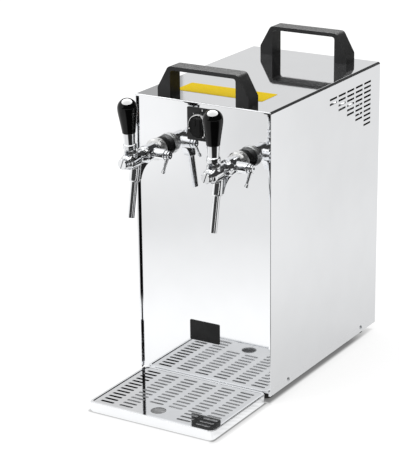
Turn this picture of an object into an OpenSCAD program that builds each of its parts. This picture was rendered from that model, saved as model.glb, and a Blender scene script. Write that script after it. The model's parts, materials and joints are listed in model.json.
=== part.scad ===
// Portable two-tap beer cooler: a stainless casing with a dry cold block
// inside, two compensator taps on the front and a loose drip tray.
// Millimetres, +Z up, front towards -Y, origin on the ground at the middle
// of the whole footprint.

/* [Casing] */
// Outside width of the casing
casing_w = 217.5; // [212:0.5:220]
// Depth of the casing, front lip to rear edge
casing_d = 330; // [328:1:340]
// Height of the casing's top above the ground
casing_h = 423; // [420:1:438]
// Height of the casing's lower edge above the ground
foot_h = 12; // [10:1:15]
// Sheet thickness of the cover and the panels
sheet_t = 1.2; // [0.8:0.1:1.4]
// Outside bend radius of the cover's top edges
bend_r = 3.6; // [3.2:0.1:8]
// Width of the folded lip round the front opening
lip_w = 3; // [1.5:0.5:3]
// How far the front panel sits behind the lip
setback = 4; // [3:0.5:6]
// Gap at each side between the lip and the front panel
panel_gap = 1.2; // [1:0.1:3]

/* [Vents] */
// Length of one punched vent slot
slot_l = 22; // [16:1:24]
// Height of one punched vent slot
slot_h = 3; // [2:0.5:4]
// Spacing of the slot columns along the side
slot_col = 27; // [26:1:30]
// Spacing of the slot rows
slot_row = 6.9; // [6:0.1:8]

/* [Carry handles] */
// Overall width of a carry handle
handle_w = 144.6; // [138:0.2:150]
// Height of a carry handle above the casing
handle_h = 44; // [42:0.5:50]
// Depth of a carry handle, front to back
handle_d = 26; // [20:0.5:28]
// Width of each leg at its foot
handle_leg = 20.3; // [18:0.1:24]
// Thickness of the grip bar
handle_bar = 5.5; // [5:0.5:8]

/* [Drip tray] */
// Outside width of the drip tray
tray_w = 202; // [195:1:204]
// Reach of the tray in front of the casing
tray_reach = 146; // [144:1:160]
// Height of the drip tray
tray_h = 15; // [14:0.5:18]
// Width of the tray's rim round the grid
tray_rim = 4.2; // [3.5:0.1:5]
// Radius of the grid's finger hole
finger_r = 11; // [8:0.5:12]

/* [Taps] */
// Distance of each tap from the middle
tap_x = 65.5; // [60:0.5:66]
// Height of the tap bodies' axis
tap_z = 351.5; // [348:0.5:358]
// Forward lean of the closed left lever, in degrees
left_lean = 4.5; // [0:0.5:5]
// Forward lean of the closed right lever, in degrees
right_lean = 0.5; // [0:0.5:5]
// Forward lean of the spout, in degrees
spout_lean = 11.5; // [8:0.5:14]
// Largest radius of the lever grip
grip_r = 13.8; // [12:0.1:15]
// Outside radius of the spout tube
spout_r = 5; // [4.5:0.1:5.2]

/* [Thermostat] */
// Height of the thermostat knob's axis
stat_z = 391.2; // [389:0.1:396]
// Radius of the thermostat knob's skirt
knob_r = 18; // [15:0.5:20]

/* [Hidden] */
$fn = 48;
// length of the rear fittings behind the casing
rear_len = 25;
// front edge of the casing, so that the whole footprint is centred
fy = -(casing_d + rear_len - tray_reach) / 2;
ry = fy + casing_d;
// outer faces of the front and rear panels
pf = fy + setback;
pr = ry - 2;
hw = casing_w / 2;
// half width and limits of the panels inside the cover
pw = hw - sheet_t - 0.4;
fw = hw - lip_w - panel_gap;
base_z = foot_h + 2;
panel_top = casing_h - sheet_t - 0.4;
// vent field on the sides
vent_y = fy + 170;
vent_z = casing_h - 23.5;
// screws
screw_y = [fy + 52, fy + 281];
screw_z = foot_h + 7.5;
// height of the middle of the small front plate
plate_z = 87;
foot_x = hw - 22;
foot_y = [fy + 24, ry - 24];
// carry handles
handle_y = [fy + 4, ry - 12.5 - handle_d];
handle_sx = handle_w / 2 - handle_leg / 2;
// drip tray
tray_f = fy - tray_reach;
tray_b = pf - 0.5;
tray_d = tray_b - tray_f;
tray_cy = (tray_f + tray_b) / 2;
grid_w = tray_w - 2 * tray_rim - 0.8;
grid_d = tray_d - 2 * tray_rim - 0.8;
grid_t = 1.5;
grid_z = tray_h - 2.5;
grid_cols = 6;
grid_rows = 13;
grid_px = 31.1;
grid_py = 10;
// lever pivot, measured from the tap's own origin
piv_y = -77.5;
piv_z = 10;
// spout root on the tap's axis
sp_y = -63.6;
// compensator spindle
comp_y = -30.5;
// cold side
coil_x = 43;
coil_y = -10;
coil_r = 37;
coil_tube = 4;
coil_z0 = 70;
coil_z1 = 270;
coil_turns = 8;
coil_end = 52.5;
riser_y = coil_y - coil_r * sin(coil_end);
riser_x = coil_x + coil_r * cos(coil_end);
// rear side
fan_z = 280;
comp_cy = 130;
inlet_x = coil_x + coil_r;
inlet_z = coil_z0;
gland_z = 45;

// points on an arc
function arc(cx, cy, r, a0, a1, n) =
    [for (i = [0:n]) [cx + r * cos(a0 + (a1 - a0) * i / n), cy + r * sin(a0 + (a1 - a0) * i / n)]];
// rectangle with rounded corners
function rr_pts(w, d, r, n = 6) = concat(
    arc(w / 2 - r, d / 2 - r, r, 0, 90, n), arc(-w / 2 + r, d / 2 - r, r, 90, 180, n),
    arc(-w / 2 + r, -d / 2 + r, r, 180, 270, n), arc(w / 2 - r, -d / 2 + r, r, 270, 360, n));
// slot with round ends along X
function slot_pts(l, w, n = 5) = concat(
    arc(l / 2 - w / 2, 0, w / 2, -90, 90, n), arc(-l / 2 + w / 2, 0, w / 2, 90, 270, n));
// inverted U of the cover, inset by t
function u_pts(t) = concat([[hw - t, foot_h]],
    arc(hw - bend_r, casing_h - bend_r, bend_r - t, 0, 90, 10),
    arc(-hw + bend_r, casing_h - bend_r, bend_r - t, 90, 180, 10), [[-hw + t, foot_h]]);
function rev(a) = [for (i = [len(a) - 1:-1:0]) a[i]];
function unit(a) = a / norm(a);
// direction of a path at point i
function path_dir(p, i) = i == 0 ? unit(p[1] - p[0])
    : i == len(p) - 1 ? unit(p[i] - p[i - 1])
    : unit(unit(p[i] - p[i - 1]) + unit(p[i + 1] - p[i]));

// extrude an XZ outline from y0 to y1
module along_y(y0, y1) translate([0, y1, 0]) rotate([90, 0, 0]) linear_extrude(height = y1 - y0) children();
// cylinder along Y from y0 to y1 at x, z
module rod_y(r, y0, y1, x = 0, z = 0, r2 = undef)
    translate([x, y1, z]) rotate([90, 0, 0]) cylinder(r1 = r2 == undef ? r : r2, r2 = r, h = y1 - y0);
// cylinder along X from x0 to x1 at y, z
module rod_x(r, x0, x1, y = 0, z = 0) translate([x0, y, z]) rotate([0, 90, 0]) cylinder(r = r, h = x1 - x0);
// solid of revolution about the Y axis, profile as [radius, distance towards the front]
module turned_y(pts) rotate([90, 0, 0]) rotate_extrude() polygon(pts);
// hexagon nut along Y
module hex_y(af, y0, y1, x, z, bore) difference() {
    rod_y_hex(af / sqrt(3), y0, y1, x, z);
    rod_y(bore, y0 - 1, y1 + 1, x, z);
}
module rod_y_hex(r, y0, y1, x, z) translate([x, y1, z]) rotate([90, 0, 0]) cylinder(r = r, h = y1 - y0, $fn = 6);
// tube of r along the points p, n sides
module swept(p, r, n = 6) {
    ref = unit([0.31, 0.47, 0.83]);
    m = len(p);
    ring = [for (i = [0:m - 1]) let (t = path_dir(p, i), u = unit(cross(ref, t)), v = cross(t, u))
        for (k = [0:n - 1]) p[i] + r * (u * cos(360 * k / n) + v * sin(360 * k / n))];
    side = [for (i = [0:m - 2], k = [0:n - 1]) each [
        [i * n + k, (i + 1) * n + k, (i + 1) * n + (k + 1) % n],
        [i * n + k, (i + 1) * n + (k + 1) % n, i * n + (k + 1) % n]]];
    polyhedron(ring, concat([[for (k = [0:n - 1]) k]], side, [[for (k = [n - 1:-1:0]) (m - 1) * n + k]]));
}
// origin of one tap: on its axis, at the casing's front edge
module at_tap(s) translate([s * tap_x, fy, tap_z]) children();
module at_pivot(s) at_tap(s) translate([0, piv_y, piv_z]) children();
// lean of one tap's lever
function lean(s) = s < 0 ? left_lean : right_lean;
module at_spout(s) at_tap(s) translate([0, sp_y, 0]) rotate([-spout_lean, 0, 0]) children();

// ---------------------------------------------------------------- casing

module cover() color("#dfe1e3") difference() {
    union() {
        along_y(fy + setback, ry) polygon(concat(u_pts(0), rev(u_pts(sheet_t))));
        along_y(fy, fy + setback) polygon(concat(u_pts(0), rev(u_pts(lip_w))));
    }
    // five columns of slots on each side, each column two slots longer
    for (c = [0:4], r = [0:2 * c + 1])
        translate([-hw - 1, vent_y + c * slot_col, vent_z - r * slot_row]) cube([casing_w + 2, slot_l, slot_h]);
    for (y = screw_y) rod_x(1.75, -hw - 1, hw + 1, y, screw_z);
    for (y = handle_y, s = [-1, 1])
        translate([s * handle_sx, y + handle_d / 2, casing_h - sheet_t - 1]) cylinder(r = 2.75, h = sheet_t + 2);
}

// flat panel that fills the cover's opening, top corners clipped to clear its bends
module panel_sheet(y) along_y(y, y + sheet_t) polygon([[-pw, base_z], [pw, base_z], [pw, panel_top - bend_r], [pw - bend_r, panel_top],
    [bend_r - pw, panel_top], [-pw, panel_top - bend_r]]);

module front_panel() color("#e9eaec") difference() {
    union() {
        intersection() {
            panel_sheet(pf);
            translate([-fw, pf - 1, 0]) cube([2 * fw, 4, casing_h]);
        }
        // sides folded back
        for (s = [-1, 1]) translate([s * (fw - sheet_t / 2) - sheet_t / 2, pf, base_z + 20])
            cube([sheet_t, 9, panel_top - bend_r - base_z - 22]);
    }
    for (s = [-1, 1]) rod_y(10.6, pf - 1, pf + sheet_t + 1, s * tap_x, tap_z);
    rod_y(5.3, pf - 1, pf + sheet_t + 1, 0, stat_z);
}

module rear_panel() color("#d4d6d8") difference() {
    panel_sheet(pr - sheet_t);
    for (s = [-1, 1]) rod_y(8.2, pr - sheet_t - 1, pr + 1, s * inlet_x, inlet_z);
    rod_y(8.2, pr - sheet_t - 1, pr + 1, 0, gland_z);
    // exhaust slots behind the condenser
    for (r = [0:12], c = [-1, 0, 1])
        translate([c * 54 - 24, pr - sheet_t - 1, fan_z - 73 + r * 12]) cube([48, sheet_t + 2, 4]);
}

module base_pan() color("#c4c7ca") difference() {
    translate([-pw, pf + sheet_t, base_z]) cube([2 * pw, pr - pf - 2 * sheet_t, 18]);
    translate([-pw + 1.2, pf + sheet_t + 1.2, base_z + 1.2]) cube([2 * pw - 2.4, pr - pf - 2 * sheet_t - 2.4, 18]);
    for (x = [-1, 1], y = foot_y) translate([x * foot_x, y, base_z - 1]) cylinder(r = 2.7, h = 4);
    for (y = screw_y) rod_x(1.75, -hw - 1, hw + 1, y, screw_z);
}

module rubber_feet() color("#202022") for (x = [-1, 1], y = foot_y) translate([x * foot_x, y, 0]) difference() {
    rotate_extrude() polygon([[0, 0], [10.5, 0], [11.5, 1.2], [13, base_z], [0, base_z]]);
    translate([0, 0, -1]) cylinder(r = 5.4, h = 7);
    cylinder(r = 2.7, h = base_z + 1);
}

module foot_screws() color("#b9bcc0") for (x = [-1, 1], y = foot_y) translate([x * foot_x, y, 0]) difference() {
    rotate_extrude() polygon([[0, 2.6], [4.2, 2.6], [5, 3.4], [5, 6], [2.5, 6], [2.5, base_z + 7], [0, base_z + 7]]);
    for (a = [0, 90]) rotate([0, 0, a]) translate([-3, -0.5, 2]) cube([6, 1, 2]);
}

module carry_handle(y) color("#2b2c2e") difference() {
    w = handle_w / 2;
    translate([0, 0, casing_h]) along_y(y, y + handle_d) polygon(concat(
        [[w, 0], [w, 12.2], [w - 0.4, 13.6]],
        arc(w - 21.5, handle_h - 7, 7, 29, 90, 6), arc(-w + 21.5, handle_h - 7, 7, 90, 151, 6),
        [[-w + 0.4, 13.6], [-w, 12.2], [-w, 0], [-w + handle_leg, 0]],
        rev(arc(-w + handle_leg + 4, handle_h - handle_bar - 4, 4, 90, 180, 4)),
        rev(arc(w - handle_leg - 4, handle_h - handle_bar - 4, 4, 0, 90, 4)),
        [[w - handle_leg, 0]]));
    for (s = [-1, 1]) translate([s * handle_sx, y + handle_d / 2, casing_h - 1]) cylinder(r = 2.55, h = 12);
}
module front_handle() carry_handle(handle_y[0]);
module rear_handle() carry_handle(handle_y[1]);

module handle_screws() color("#b9bcc0") for (y = handle_y, s = [-1, 1])
    translate([s * handle_sx, y + handle_d / 2, casing_h - sheet_t]) rotate_extrude()
        polygon([[0, -3.2], [4, -3.2], [4.8, -2], [4.8, 0], [2.5, 0], [2.5, 11], [0, 11]]);

module side_screws() color("#cfd2d5") for (s = [-1, 1], y = screw_y)
    translate([s * hw, y, screw_z]) rotate([0, s * 90, 0]) difference() {
        rotate_extrude() polygon([[0, 1.2], [1.8, 1.2], [2.9, 0.5], [3.1, 0], [1.6, 0], [1.6, -7], [0, -7]]);
        for (a = [0, 90]) rotate([0, 0, a]) translate([-1.8, -0.35, 0.5]) cube([3.6, 0.7, 2]);
    }

module top_label() color("#f2d21b") translate([0, fy + 67.5, casing_h]) linear_extrude(height = 0.3) polygon(rr_pts(139, 45, 2, 3));

module name_plate() color("#161617") translate([0, 0, plate_z]) along_y(pf - 1, pf) polygon(rr_pts(48.5, 30, 1.5, 3));

// ---------------------------------------------------------------- thermostat

module thermostat_plate() color("#1b1c1d") difference() {
    translate([0, 0, stat_z]) along_y(pf - 1.2, pf) polygon(rr_pts(48.6, 46.6, 1.5, 3));
    rod_y(5.3, pf - 3, pf + 1, 0, stat_z);
}

module thermostat_knob() color("#222324") translate([0, pf - 1.7, stat_z]) difference() {
    union() {
        turned_y([[0, 0], [knob_r - 0.5, 0], [knob_r, 0.6], [knob_r - 0.5, 9], [knob_r - 1.6, 10.2], [0, 10.2]]);
        // grip bar across the knob
        along_y(-16, -9) polygon(rr_pts(14.4, 2 * knob_r - 9.5, 4.4, 5));
        along_y(-17.2, -15.5) polygon(rr_pts(12.6, 2 * knob_r - 11.5, 3.6, 5));
    }
    rod_y(3.02, -12, 1);
    // pointer groove along the bar
    translate([-0.7, -18.2, 2]) cube([1.4, 1.8, knob_r - 5]);
}

module thermostat_shaft() color("#c9a24e") rod_y(3, pf - 13, pf + 22, 0, stat_z);

module thermostat_body() color("#d9d9d4") difference() {
    union() {
        translate([-18, pf + sheet_t, stat_z - 17]) cube([36, 31, 34]);
        rod_y(5, pf - 1.2, pf + sheet_t + 2, 0, stat_z);
        // switch terminals
        for (x = [-10, 0, 10]) translate([x - 3, pf + sheet_t + 30, stat_z - 8]) cube([6, 9, 0.8]);
    }
    rod_y(3.06, pf - 3, pf + 23, 0, stat_z);
}

// ---------------------------------------------------------------- drip tray

module drip_tray() color("#e4e6e8") translate([0, tray_cy, 0]) difference() {
    union() {
        linear_extrude(height = 2.2) polygon(rr_pts(tray_w - 3, tray_d - 3, 7.5));
        translate([0, 0, 2.2]) linear_extrude(height = tray_h - 3.6) polygon(rr_pts(tray_w, tray_d, 9));
        translate([0, 0, tray_h - 1.4]) linear_extrude(height = 0.8) polygon(rr_pts(tray_w - 0.8, tray_d - 0.8, 8.6));
        translate([0, 0, tray_h - 0.6]) linear_extrude(height = 0.6) polygon(rr_pts(tray_w - 2.2, tray_d - 2.2, 8));
    }
    // seat of the grid, then the well below it
    translate([0, 0, grid_z]) linear_extrude(height = 10) polygon(rr_pts(grid_w + 0.8, grid_d + 0.8, 5.4));
    translate([0, 0, 1.8]) linear_extrude(height = 20) polygon(rr_pts(grid_w - 5, grid_d - 5, 4));
}

module drip_grid() color("#d9dbdd") difference() {
    translate([0, tray_cy, grid_z]) linear_extrude(height = grid_t) polygon(rr_pts(grid_w, grid_d, 5));
    translate([0, tray_cy, grid_z - 1]) linear_extrude(height = grid_t + 2)
        for (c = [0:grid_cols - 1], r = [0:grid_rows - 1])
            // the two middle columns leave room for the finger hole
            if (!(r < 3 && (c == 2 || c == 3)))
                translate([(c - (grid_cols - 1) / 2) * grid_px, (r - (grid_rows - 1) / 2) * grid_py])
                    polygon(slot_pts(22.5, 4.6));
    translate([0, tray_cy - 5 * grid_py, grid_z - 1]) cylinder(r = finger_r, h = grid_t + 2);
}

// ---------------------------------------------------------------- taps

module shank(s) color("#c8cacc") at_tap(s) difference() {
    rod_y(10.3, -11, 60);
    rod_y(4, -12, 61);
}
module left_shank() shank(-1);
module right_shank() shank(1);

module shank_lock_nuts() color("#b3975a") for (s = [-1, 1])
    hex_y(30, pf + sheet_t, pf + sheet_t + 8, s * tap_x, tap_z, 10.4);

module spacer(s) color("#18191a") at_tap(s) difference() {
    turned_y([[0, -setback], [14.4, -setback], [14.4, 6.4], [13.8, 7], [0, 7]]);
    rod_y(10.5, -8, setback + 1);
}
module left_spacer() spacer(-1);
module right_spacer() spacer(1);

module ring_nut(s) color("#d5d7d9") at_tap(s) difference() {
    turned_y([[0, 7], [14.6, 7], [15.3, 7.6], [15.3, 8.4], [14.5, 8.8], [14.5, 9.4], [15.3, 9.8], [15.3, 10.6], [14.5, 11], [14.5, 11.6],
        [15.3, 12], [15.3, 16.6], [13.6, 19], [0, 19]]);
    rod_y(10.4, -15, -6);
    rod_y(9.1, -20, -14);
    // spanner holes
    for (a = [0:60:300]) rotate([0, a + 15, 0]) translate([0, -12, 12.6]) cylinder(r = 1.5, h = 5);
}
module left_ring_nut() ring_nut(-1);
module right_ring_nut() ring_nut(1);

module tap_body(s) color("#d5d7d9") difference() {
    union() {
        at_tap(s) {
            turned_y([[0, 11.1], [10.2, 11.1], [10.2, 13.8], [9, 13.8], [9, 19.2], [10.6, 19.2],
                [12, 20.6], [12, 43], [11.5, 46], [10.2, 49.5], [9.6, 53], [9.6, 60], [10.2, 63],
                [11, 66], [11, 85], [10.7, 87.5], [9.8, 90], [8.4, 92], [8.4, 94], [0, 94]]);
            // neck that carries the lever
            translate([0, piv_y, 0]) cylinder(r = 9.5, h = piv_z);
            // side boss of the compensator
            rod_x(7.6, 0, 27, comp_y, 0);
            // web under the barrel
            translate([-5.5, 0, 0]) rotate([90, 0, 90]) linear_extrude(height = 11) polygon(concat(
                [[-34, 0]], arc(-34, -37.5, 26, 90, 165, 10), [[-66, -31], [-66, 0]]));
        }
        at_spout(s) translate([0, 0, -31.6]) cylinder(r = 7.5, h = 31.6);
    }
    at_tap(s) {
        rod_y(5, -96, -59);
        rod_y(3.4, -60, -54);
        rod_y(5, -55, -44.5);
        rod_y(5, -44.5, -36, 0, 0, 6.2);
        rod_y(6.2, -36.001, -21);
        rod_y(4, -22, -10);
        rod_x(3.06, 0, 28.5, comp_y, 0);
        // seat of the lever's cap, cross pin and finger
        translate([0, piv_y, piv_z]) cylinder(r = 9.7, h = 6);
        rod_x(3.05, -6.2, 6.2, piv_y, piv_z);
        translate([-2.5, piv_y - 2.6, 0]) cube([5, 11, piv_z + 1]);
    }
    at_spout(s) {
        translate([0, 0, -33]) cylinder(r = spout_r - 0.36, h = 15.5);
        translate([0, 0, -20]) cylinder(r = 3.6, h = 20);
    }
}
module left_tap_body() tap_body(-1);
module right_tap_body() tap_body(1);

module front_plug(s) color("#d5d7d9") at_tap(s) difference() {
    turned_y([[0, 89], [4.9, 89], [4.9, 94], [7.4, 94], [7.4, 97.6], [6.4, 99], [0, 99]]);
    rotate([0, 20, 0]) translate([-0.8, -100, -8]) cube([1.6, 2.4, 16]);
}
module left_front_plug() front_plug(-1);
module right_front_plug() front_plug(1);

module spout(s) color("#d5d7d9") at_spout(s) difference() {
    union() {
        translate([0, 0, -82]) cylinder(r = spout_r, h = 50.25);
        // turned down where it sits in the body
        translate([0, 0, -82]) cylinder(r = spout_r - 0.4, h = 64.4);
    }
    translate([0, 0, -83]) cylinder(r = spout_r - 1.3, h = 67);
}
module left_spout() spout(-1);
module right_spout() spout(1);

module lever_cap(s) color("#d5d7d9") at_pivot(s) difference() {
    rotate_extrude() polygon(concat([[0, 0]], arc(0, 0, 9.5, 0, 90, 8)));
    rod_x(3.05, -6.2, 6.2);
    // slot in which the lever swings
    translate([-2.9, -12, -1]) cube([5.8, 15.6, 12]);
}
module left_lever_cap() lever_cap(-1);
module right_lever_cap() lever_cap(1);

module lever(s) color("#d5d7d9") at_pivot(s) {
    rod_x(3, -6, 6);
    // finger that works the valve stem
    translate([0, 0, -10]) cylinder(r = 1.2, h = 9);
    translate([0, 0, -10]) sphere(r = 2);
    rotate([lean(s), 0, 0]) {
        cylinder(r = 2.5, h = 12);
        rotate_extrude() polygon([[0, 9.95], [3, 9.6], [5, 8.75], [6.6, 7.6], [9.2, 7.6], [9.6, 8.1], [9.6, 10],
            [8.8, 10.4], [8.8, 11], [9.6, 11.4], [9.6, 13.4], [8.9, 14.4], [7.7, 15], [8.6, 30.3], [3, 30.3], [3, 45], [0, 45]]);
    }
}
module left_lever() lever(-1);
module right_lever() lever(1);

module grip(s) color("#0e0e0f") at_pivot(s) rotate([lean(s), 0, 0]) difference() {
    rotate_extrude() polygon(concat([[0, 30.35], [8.6, 30.35], [9.1, 30.9], [9.3, 33], [10.3, 40], [12, 51], [13.2, 58.5], [grip_r - 0.2, 62.5]],
        arc(0, 65.7, grip_r, 0, 90, 10)));
    translate([0, 0, 30]) cylinder(r = 3.04, h = 15.6);
}
module left_grip() grip(-1);
module right_grip() grip(1);

module valve_stem(s) color("#b3975a") at_tap(s) difference() {
    union() {
        rod_y(4.94, -88, -66.5);
        rod_y(2.4, -68, -51.6);
    }
    // slot for the lever's finger, opened towards the front above the axis
    translate([-6, piv_y - 2.5, -3]) cube([12, 5, 10]);
    translate([-6, piv_y - 6.5, 1]) cube([12, 9, 10]);
}
module left_valve_stem() valve_stem(-1);
module right_valve_stem() valve_stem(1);

module valve_seal(s) color("#1b1b1c") at_tap(s) difference() {
    turned_y([[0, 52.2], [4.2, 52.2], [4.4, 52.8], [4.4, 54], [3.6, 54.8], [0, 54.8]]);
    rod_y(2.41, -56, -50);
}
module left_valve_seal() valve_seal(-1);
module right_valve_seal() valve_seal(1);

module comp_lever(s) color("#d5d7d9") at_tap(s) translate([0, comp_y, 0]) {
    rod_x(3, 3, 28.5);
    // eccentric pin in the cone's tail
    rod_x(1.2, -2.2, 4, 0, 1.7);
    difference() {
        translate([27.5, 0, 0]) rotate([0, 90, 0]) rotate_extrude()
            polygon([[0, 0], [6.6, 0], [6.6, 3.4], [5.6, 4.4], [5.6, 6.2], [4.9, 6.8], [0, 6.8]]);
        translate([33.1, 0, 0]) rotate([0, 90, 0]) cylinder(r = 2.6, h = 3);
    }
    translate([30.5, 0, 0]) rotate([147.5, 0, 0]) translate([0, 0, 4]) rotate_extrude()
        polygon([[0, 0], [2.5, 0], [1.9, 17.5], [2.6, 18.6], [2.7, 22], [2, 23], [0, 23]]);
}
module left_comp_lever() comp_lever(-1);
module right_comp_lever() comp_lever(1);

module comp_cone(s) color("#e2ddcf") at_tap(s) difference() {
    union() {
        turned_y([[0, 36], [5.4, 36], [4.5, 43], [0, 43]]);
        translate([-2.4, -37, -4]) cube([4.8, 11.5, 8]);
    }
    // cross slot for the eccentric pin
    translate([-6, comp_y - 1.8, -0.5]) cube([12, 3.6, 8]);
    // room for the spindle's end
    rod_x(3.6, 2.6, 8, comp_y, 0);
}
module left_comp_cone() comp_cone(-1);
module right_comp_cone() comp_cone(1);

// ---------------------------------------------------------------- cold side

module cold_block() color("#b9bcc0") {
    for (s = [-1, 1]) translate([s * coil_x, coil_y, base_z + 24]) cylinder(r = 31, h = 248);
    translate([-coil_x, coil_y - 8, base_z + 264]) cube([2 * coil_x, 16, 8]);
}

module insulation_shell() color("#ece8d8") difference() {
    translate([-100, -68, base_z + 1.2]) cube([200, 116, 300 - base_z - 1.2]);
    translate([-86, -54, base_z + 24]) cube([172, 88, 300]);
    for (s = [-1, 1]) rod_y(coil_tube + 1, 30, 50, s * inlet_x, inlet_z);
}

module insulation_lid() color("#ece8d8") difference() {
    translate([-100, -68, 300]) cube([200, 116, 18]);
    for (s = [-1, 1]) translate([s * riser_x, riser_y, 299]) cylinder(r = coil_tube + 1, h = 20);
    for (x = [0, -20]) translate([x, coil_y, 299]) cylinder(r = 4.5, h = 20);
}

// one beer line: rear lead, coil round the cold block, riser to the shank
function beer_path(s) = concat(
    [[s * inlet_x, pr - 17, inlet_z], [s * inlet_x, 60, inlet_z], [s * inlet_x, coil_y + 8, inlet_z]],
    [for (i = [0:coil_turns * 16 + 2]) let (a = i * 22.5, f = i / (coil_turns * 16 + 2.33))
        [s * (coil_x + coil_r * cos(a)), coil_y - coil_r * sin(a), coil_z0 + (coil_z1 - coil_z0) * f]],
    [[s * riser_x, riser_y, coil_z1 + 6], [s * riser_x, riser_y, coil_z1 + 20], [s * riser_x, riser_y, tap_z - 18],
     [s * (riser_x + (tap_x - riser_x) * 0.3), riser_y - 0.6, tap_z - 6], [s * tap_x, riser_y - 1.4, tap_z], [s * tap_x, fy + 60, tap_z]]);
module beer_line(s) color("#c8cacc") swept(beer_path(s), coil_tube, 6);
module left_beer_line() beer_line(-1);
module right_beer_line() beer_line(1);

module control_box() color("#3a3c3e") difference() {
    translate([-40, 48, 220]) cube([80, 30, 80]);
    translate([-37, 51, 223]) cube([74, 24, 74]);
    rod_y(4, 70, 90, 25, 235);
}

// ---------------------------------------------------------------- warm side

module compressor() color("#1d1e20") translate([0, comp_cy, base_z]) {
    rotate_extrude() polygon(concat([[0, 13], [40, 13], [54, 20], [58, 32], [58, 78], [60, 79], [60, 84], [58, 85], [58, 118]],
        arc(0, 118, 58, 0, 0, 1), [[54, 138], [44, 150], [30, 156], [0, 158]]));
    difference() {
        translate([-62, -62, 8]) cube([124, 124, 3]);
        for (x = [-52, 52], y = [-52, 52]) translate([x, y, 7]) cylinder(r = 4.2, h = 5);
    }
    translate([-46, -46, 11]) cube([92, 92, 3]);
}

module compressor_grommets() color("#202022") for (x = [-52, 52], y = [-52, 52])
    translate([x, comp_cy + y, base_z + 1.2]) difference() {
        rotate_extrude() polygon([[0, 0], [9, 0], [9, 6.8], [4.1, 6.8], [4.1, 9.9], [8, 9.9], [8, 12], [0, 12]]);
        translate([0, 0, -1]) cylinder(r = 2.6, h = 14);
    }

module condenser() color("#8a8d90") {
    for (i = [0:11]) translate([-82.5 + i * 15 - 0.4, 175, fan_z - 80]) cube([0.8, 30, 160]);
    for (z = [-60:40:60], y = [183, 197]) rod_x(4, -84, 84, y, fan_z + z);
    // end plates
    for (s = [-1, 1]) translate([s * 84.5 - 0.5, 174, fan_z - 80]) cube([1, 32, 160]);
}

module fan_shroud() color("#2a2b2d") difference() {
    union() {
        translate([-76, 160, fan_z - 76]) cube([152, 2, 152]);
        rod_y(66, 140, 160, 0, fan_z);
    }
    rod_y(62, 145, 163, 0, fan_z);
    // three arms that hold the motor
    difference() {
        rod_y(62, 139, 146, 0, fan_z);
        rod_y(26, 138, 147, 0, fan_z);
        for (a = [90, 210, 330]) translate([0, 138, fan_z]) rotate([0, a, 0]) translate([0, 0, -5]) cube([70, 9, 10]);
    }
    rod_y(22.1, 138, 147, 0, fan_z);
}

module fan_motor() color("#5b5e61") difference() {
    rod_y(22, 112, 147.5, 0, fan_z);
    rod_y(3.06, 120, 150, 0, fan_z);
}

module fan_blade() color("#c9ccd0") translate([0, 0, fan_z]) {
    rod_y(3, 121, 154);
    rod_y(20, 149, 161);
    for (a = [0:72:288]) rotate([0, a, 0]) translate([0, 155, 0]) rotate([28, 0, 0])
        translate([18, -0.9, -11]) cube([38, 1.8, 22]);
}

module refrigerant_lines() color("#b87333") {
    // discharge line to the condenser
    swept([[58, comp_cy, 140], [74, comp_cy, 146], [90, comp_cy + 10, 165], [94, 165, 190], [94, 190, 230], [94, 190, 330], [92, 190, 340], [88.4, 190, 340]], 3);
    // suction line from the cold block
    swept([[0, coil_y, base_z + 273], [0, coil_y, 322], [0, coil_y + 8, 334], [0, coil_y + 20, 338], [0, 84, 338], [0, 94, 332], [0, 98, 320], [0, 98, base_z + 157]], 3.5);
    // drier and capillary
    swept([[-88.4, 190, 220], [-92, 190, 218], [-94, 184, 205], [-94, 160, 175], [-94, 150, 165]], 3);
    translate([-94, 147, 70]) rotate_extrude() polygon([[0, 0], [2, 0], [8, 9], [8, 72], [3, 80], [3, 88], [0, 88]]);
    swept([[-94, 147, 69.5], [-94, 144, 58], [-94, 110, 55], [-94, 62, 60], [-94, 56, 80], [-94, 56, 320], [-85, 45, 332], [-40, coil_y + 8, 334], [-24, coil_y, 330], [-20, coil_y, 320], [-20, coil_y, base_z + 273]], 1.5);
}

// ---------------------------------------------------------------- rear fittings

module beer_inlets() color("#c8cacc") for (s = [-1, 1]) translate([s * inlet_x, pr, inlet_z]) difference() {
    union() {
        rod_y(8, -16, 0);
        rod_y_hex(16, 0, 6, 0, 0);
        rod_y(9.4, 6, 13);
        rod_y(11.45, 13, ry + rear_len - pr);
        // lock nut on the inside of the panel
        rod_y_hex(13.5, -sheet_t - 7, -sheet_t, 0, 0);
    }
    rod_y(coil_tube + 0.2, -17, -1);
    rod_y(3.2, -2, ry + rear_len - pr + 1);
}

module mains_gland() color("#1b1c1d") translate([0, pr, gland_z]) difference() {
    union() {
        rod_y(8, -12, 0);
        rod_y_hex(12.6, 0, 5, 0, 0);
        translate([0, 5, 0]) mirror([0, 1, 0]) turned_y([[0, 0], [10.4, 0], [10.4, 8], [8, 12], [6, 13], [0, 13]]);
        rod_y_hex(12.6, -sheet_t - 6, -sheet_t, 0, 0);
    }
    rod_y(3.6, -13, 20);
}

cover();
front_panel();
rear_panel();
base_pan();
rubber_feet();
foot_screws();
front_handle();
rear_handle();
handle_screws();
side_screws();
top_label();
name_plate();
thermostat_plate();
thermostat_knob();
thermostat_shaft();
thermostat_body();
drip_tray();
drip_grid();
left_shank();
right_shank();
shank_lock_nuts();
left_spacer();
right_spacer();
left_ring_nut();
right_ring_nut();
left_tap_body();
right_tap_body();
left_front_plug();
right_front_plug();
left_spout();
right_spout();
left_lever_cap();
right_lever_cap();
left_lever();
right_lever();
left_grip();
right_grip();
left_valve_stem();
right_valve_stem();
left_valve_seal();
right_valve_seal();
left_comp_lever();
right_comp_lever();
left_comp_cone();
right_comp_cone();
compressor();
compressor_grommets();
condenser();
fan_shroud();
fan_motor();
fan_blade();
cold_block();
insulation_shell();
insulation_lid();
left_beer_line();
right_beer_line();
refrigerant_lines();
control_box();
beer_inlets();
mains_gland();
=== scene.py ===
import json
import math

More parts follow.
